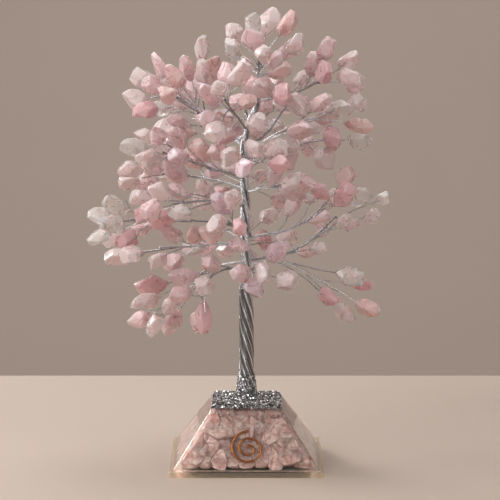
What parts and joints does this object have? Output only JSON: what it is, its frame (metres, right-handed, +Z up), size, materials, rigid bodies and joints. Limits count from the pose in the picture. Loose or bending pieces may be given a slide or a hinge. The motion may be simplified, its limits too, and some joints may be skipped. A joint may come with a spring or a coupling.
{
  "type": "gemstone tree ornament",
  "caption": "Wire tree of drilled rose-quartz chips on a clear cast-resin pyramid filled with stone chips, a table ornament whose outer sprays bend by hand.",
  "frame": {"origin": "middle of the base slab's underside", "axes": "+Z up the trunk; the pictured front faces -Y and +X is to the right in the picture"},
  "size_m": [0.1686, 0.1354, 0.2536],
  "materials": {
    "rose_quartz": "polished",
    "clear_resin": "clear gloss",
    "silver_wire": "bright drawn wire",
    "copper_wire": "bright drawn copper",
    "silver_glitter": "metal flake"
  },
  "bodies": {
    "tree": {"back_low_stones": "rose_quartz", "back_low_wires": "silver_wire", "back_stones": "rose_quartz", "back_upper_stones": "rose_quartz", "back_upper_wires": "silver_wire", "back_wires": "silver_wire", "base_resin": "clear_resin", "base_slab": "clear_resin", "base_stones": "rose_quartz", "copper_spiral": "copper_wire", "far_right_stones": "rose_quartz", "far_right_wires": "silver_wire", "foot_stones": "rose_quartz", "foot_wires": "silver_wire", "front_left_stones": "rose_quartz", "front_left_wires": "silver_wire", "front_stones": "rose_quartz", "front_wires": "silver_wire", "glitter_cap": "silver_glitter", "hanging_front_stones": "rose_quartz", "hanging_front_wires": "silver_wire", "leader": "silver_wire", "left_back_stones": "rose_quartz", "left_back_wires": "silver_wire", "left_front_stones": "rose_quartz", "left_front_wires": "silver_wire", "left_stones": "rose_quartz", "left_wires": "silver_wire", "limbs": "silver_wire", "low_left_stones": "rose_quartz", "low_left_wires": "silver_wire", "right_front_stones": "rose_quartz", "right_front_wires": "silver_wire", "right_low_stones": "rose_quartz", "right_low_wires": "silver_wire", "right_stones": "rose_quartz", "right_upper_stones": "rose_quartz", "right_upper_wires": "silver_wire", "right_wires": "silver_wire", "trunk_core": "silver_wire", "trunk_strands": "silver_wire", "upper_front_stones": "rose_quartz", "upper_front_wires": "silver_wire", "upper_left_back_stones": "rose_quartz", "upper_left_back_wires": "silver_wire", "upper_left_stones": "rose_quartz", "upper_left_wires": "silver_wire", "upper_right_stones": "rose_quartz", "upper_right_wires": "silver_wire"},
    "top_spray": {"top_wires": "silver_wire", "top_stones": "rose_quartz"},
    "far_left_spray": {"far_left_wires": "silver_wire", "far_left_stones": "rose_quartz"},
    "hanging_left_spray": {"hanging_left_wires": "silver_wire", "hanging_left_stones": "rose_quartz"},
    "far_right_upper_spray": {"far_right_upper_wires": "silver_wire", "far_right_upper_stones": "rose_quartz"},
    "hanging_right_spray": {"hanging_right_wires": "silver_wire", "hanging_right_stones": "rose_quartz"}
  },
  "joints": [
    {"name": "top_bend", "type": "hinge", "parent": "tree", "child": "top_spray", "pos_m": [0.00645, -0.00008, 0.21359], "axis": [0, 1, 0], "range_deg": [-10, 10]},
    {"name": "far_left_bend", "type": "hinge", "parent": "tree", "child": "far_left_spray", "pos_m": [-0.04181, 0.00744, 0.13541], "axis": [-0.11, 0.9939, 0], "range_deg": [-10, 10]},
    {"name": "hanging_left_bend", "type": "hinge", "parent": "tree", "child": "hanging_left_spray", "pos_m": [-0.00325, 0.0014, 0.11274], "axis": [0.4279, 0.9038, 0], "range_deg": [-10, 10]},
    {"name": "far_right_upper_bend", "type": "hinge", "parent": "tree", "child": "far_right_upper_spray", "pos_m": [0.02893, 0.00868, 0.20839], "axis": [-0.3249, -0.9457, 0], "range_deg": [-10, 10]},
    {"name": "hanging_right_bend", "type": "hinge", "parent": "tree", "child": "hanging_right_spray", "pos_m": [0.00274, 0.00123, 0.11233], "axis": [0.3771, -0.9262, 0], "range_deg": [-10, 10]}
  ]
}
